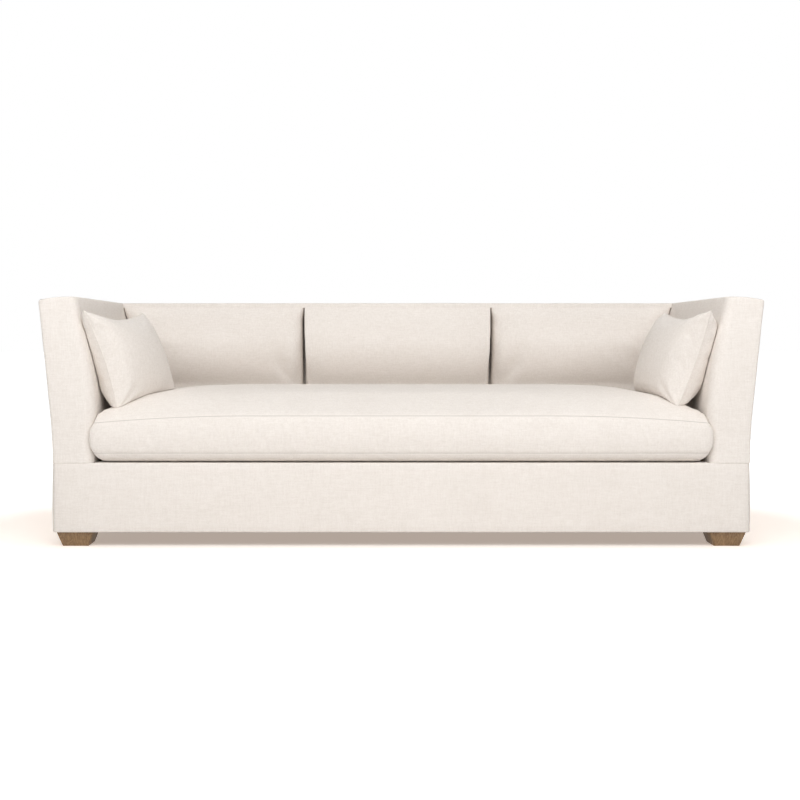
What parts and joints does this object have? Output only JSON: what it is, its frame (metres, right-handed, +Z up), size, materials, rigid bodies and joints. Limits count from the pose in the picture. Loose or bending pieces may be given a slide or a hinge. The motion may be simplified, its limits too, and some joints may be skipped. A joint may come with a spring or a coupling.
{
  "type": "sofa",
  "caption": "Upholstered sofa with flared square arms level with the back, one long seat cushion, split back, loose square pillows and tapered wood block feet.",
  "frame": {"origin": "on the floor under the middle of the overall box", "axes": "+Z up, the sofa faces -Y, +X to the right of someone looking at its front"},
  "size_m": [2.44, 0.965, 0.842],
  "materials": {
    "linen": "matte",
    "foam": "matte",
    "deck_cloth": "matte",
    "dust_cloth": "matte",
    "jute": "matte",
    "pine": "matte",
    "plywood": "matte",
    "oak": "satin",
    "steel": "satin",
    "zip": "satin"
  },
  "bodies": {
    "frame": {"front_rail": "pine", "back_rail": "pine", "side_rail_left": "pine", "side_rail_right": "pine", "cross_rails": "pine", "corner_blocks": "pine", "arm_front_post_left": "plywood", "arm_front_post_right": "plywood", "arm_back_post_left": "plywood", "arm_back_post_right": "plywood", "arm_top_rail_left": "pine", "arm_top_rail_right": "pine", "arm_low_rail_left": "pine", "arm_low_rail_right": "pine", "back_posts": "pine", "back_top_rail": "pine", "back_low_rail": "pine", "seat_springs": "steel", "spring_clips": "steel", "back_webbing": "jute", "edge_roll": "foam", "seat_deck": "deck_cloth", "dust_cover": "dust_cloth", "front_border": "linen", "side_border_left": "linen", "side_border_right": "linen", "back_border": "linen", "arm_padding_left": "foam", "arm_padding_right": "foam", "arm_cover_left": "linen", "arm_cover_right": "linen", "back_padding": "foam", "back_cover": "linen", "back_top_band": "linen", "back_cushion_left": "linen", "back_cushion_center": "linen", "back_cushion_right": "linen", "back_core_left": "foam", "back_core_center": "foam", "back_core_right": "foam", "foot_front_left": "oak", "foot_front_right": "oak", "foot_back_left": "oak", "foot_back_right": "oak", "foot_center": "oak", "foot_bolts": "steel"},
    "seat_cushion": {"seat_cushion_cover": "linen", "seat_cushion_core": "foam", "seat_cushion_zip": "zip"},
    "pillow_left": {"pillow_left_cover": "linen", "pillow_left_insert": "foam"},
    "pillow_right": {"pillow_right_cover": "linen", "pillow_right_insert": "foam"}
  },
  "joints": [
    {"name": "seat_cushion_lift", "type": "slide", "parent": "frame", "child": "seat_cushion", "axis": [0, 0, 1], "range_m": [0, 0.6]},
    {"name": "pillow_left_lift", "type": "slide", "parent": "seat_cushion", "child": "pillow_left", "axis": [0, 0, 1], "range_m": [0, 0.45]},
    {"name": "pillow_right_lift", "type": "slide", "parent": "seat_cushion", "child": "pillow_right", "axis": [0, 0, 1], "range_m": [0, 0.45]}
  ]
}
